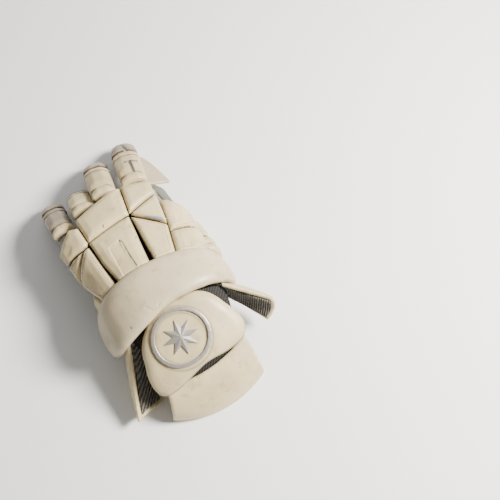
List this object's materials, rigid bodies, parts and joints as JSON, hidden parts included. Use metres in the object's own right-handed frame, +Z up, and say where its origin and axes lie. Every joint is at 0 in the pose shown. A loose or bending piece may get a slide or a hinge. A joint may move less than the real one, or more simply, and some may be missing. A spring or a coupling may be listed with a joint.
{
  "type": "lacrosse glove",
  "caption": "Padded lacrosse glove for a left hand, lying palm down, with segmented finger and back pads, a broad wrist strap, an emblem plate, a flared cuff guard and side flaps.",
  "frame": {"origin": "centre of the bounding box in x and y, on the surface that the glove rests on", "axes": "+Y from the cuff to the fingertips, +X towards the thumb side, +Z up from the palm to the back of the hand"},
  "size_m": [0.1908, 0.3404, 0.0943],
  "materials": {
    "white_leather": "satin, off-white, lightly soiled",
    "palm_leather": "matt, green-grey",
    "black_cloth": "matt black lining cloth",
    "grey_mesh": "grey spacer mesh",
    "silver_trim": "silver-grey moulded trim"
  },
  "bodies": {
    "root": {"hand_back": "black_cloth", "palm": "palm_leather", "index_stall": "grey_mesh", "index_base_roll": "white_leather", "index_mid_pad": "white_leather", "index_hem_roll": "white_leather", "index_tip_cap": "white_leather", "middle_stall": "grey_mesh", "middle_base_roll": "white_leather", "middle_mid_pad": "white_leather", "middle_hem_roll": "white_leather", "middle_tip_cap": "white_leather", "ring_stall": "grey_mesh", "ring_base_roll": "white_leather", "ring_mid_pad": "white_leather", "ring_hem_roll": "white_leather", "ring_tip_cap": "white_leather", "pinky_stall": "grey_mesh", "pinky_base_roll": "white_leather", "pinky_mid_pad": "white_leather", "pinky_hem_roll": "white_leather", "pinky_tip_cap": "white_leather", "thumb_stall": "grey_mesh", "thumb_base_roll": "white_leather", "thumb_base_pad": "white_leather", "thumb_mid_pad": "white_leather", "thumb_tip_cap": "white_leather", "knuckle_band": "white_leather", "middle_back_panel": "white_leather", "index_knuckle_facet": "white_leather", "index_side_facet": "white_leather", "index_back_panel": "white_leather", "web_triangle": "white_leather", "web_roll": "white_leather", "pinky_knuckle_facet": "white_leather", "pinky_side_facet": "white_leather", "pinky_back_panel": "white_leather", "pinky_wrist_piece": "white_leather", "emblem_plate": "white_leather", "emblem_ring": "silver_trim", "emblem_star": "silver_trim", "wrist_strap": "white_leather", "cuff_guard": "white_leather", "cuff_liner": "black_cloth", "index_side_wing": "white_leather", "left_flap": "white_leather", "left_flap_lining": "grey_mesh", "right_flap": "white_leather", "right_flap_lining": "grey_mesh"}
  },
  "joints": []
}
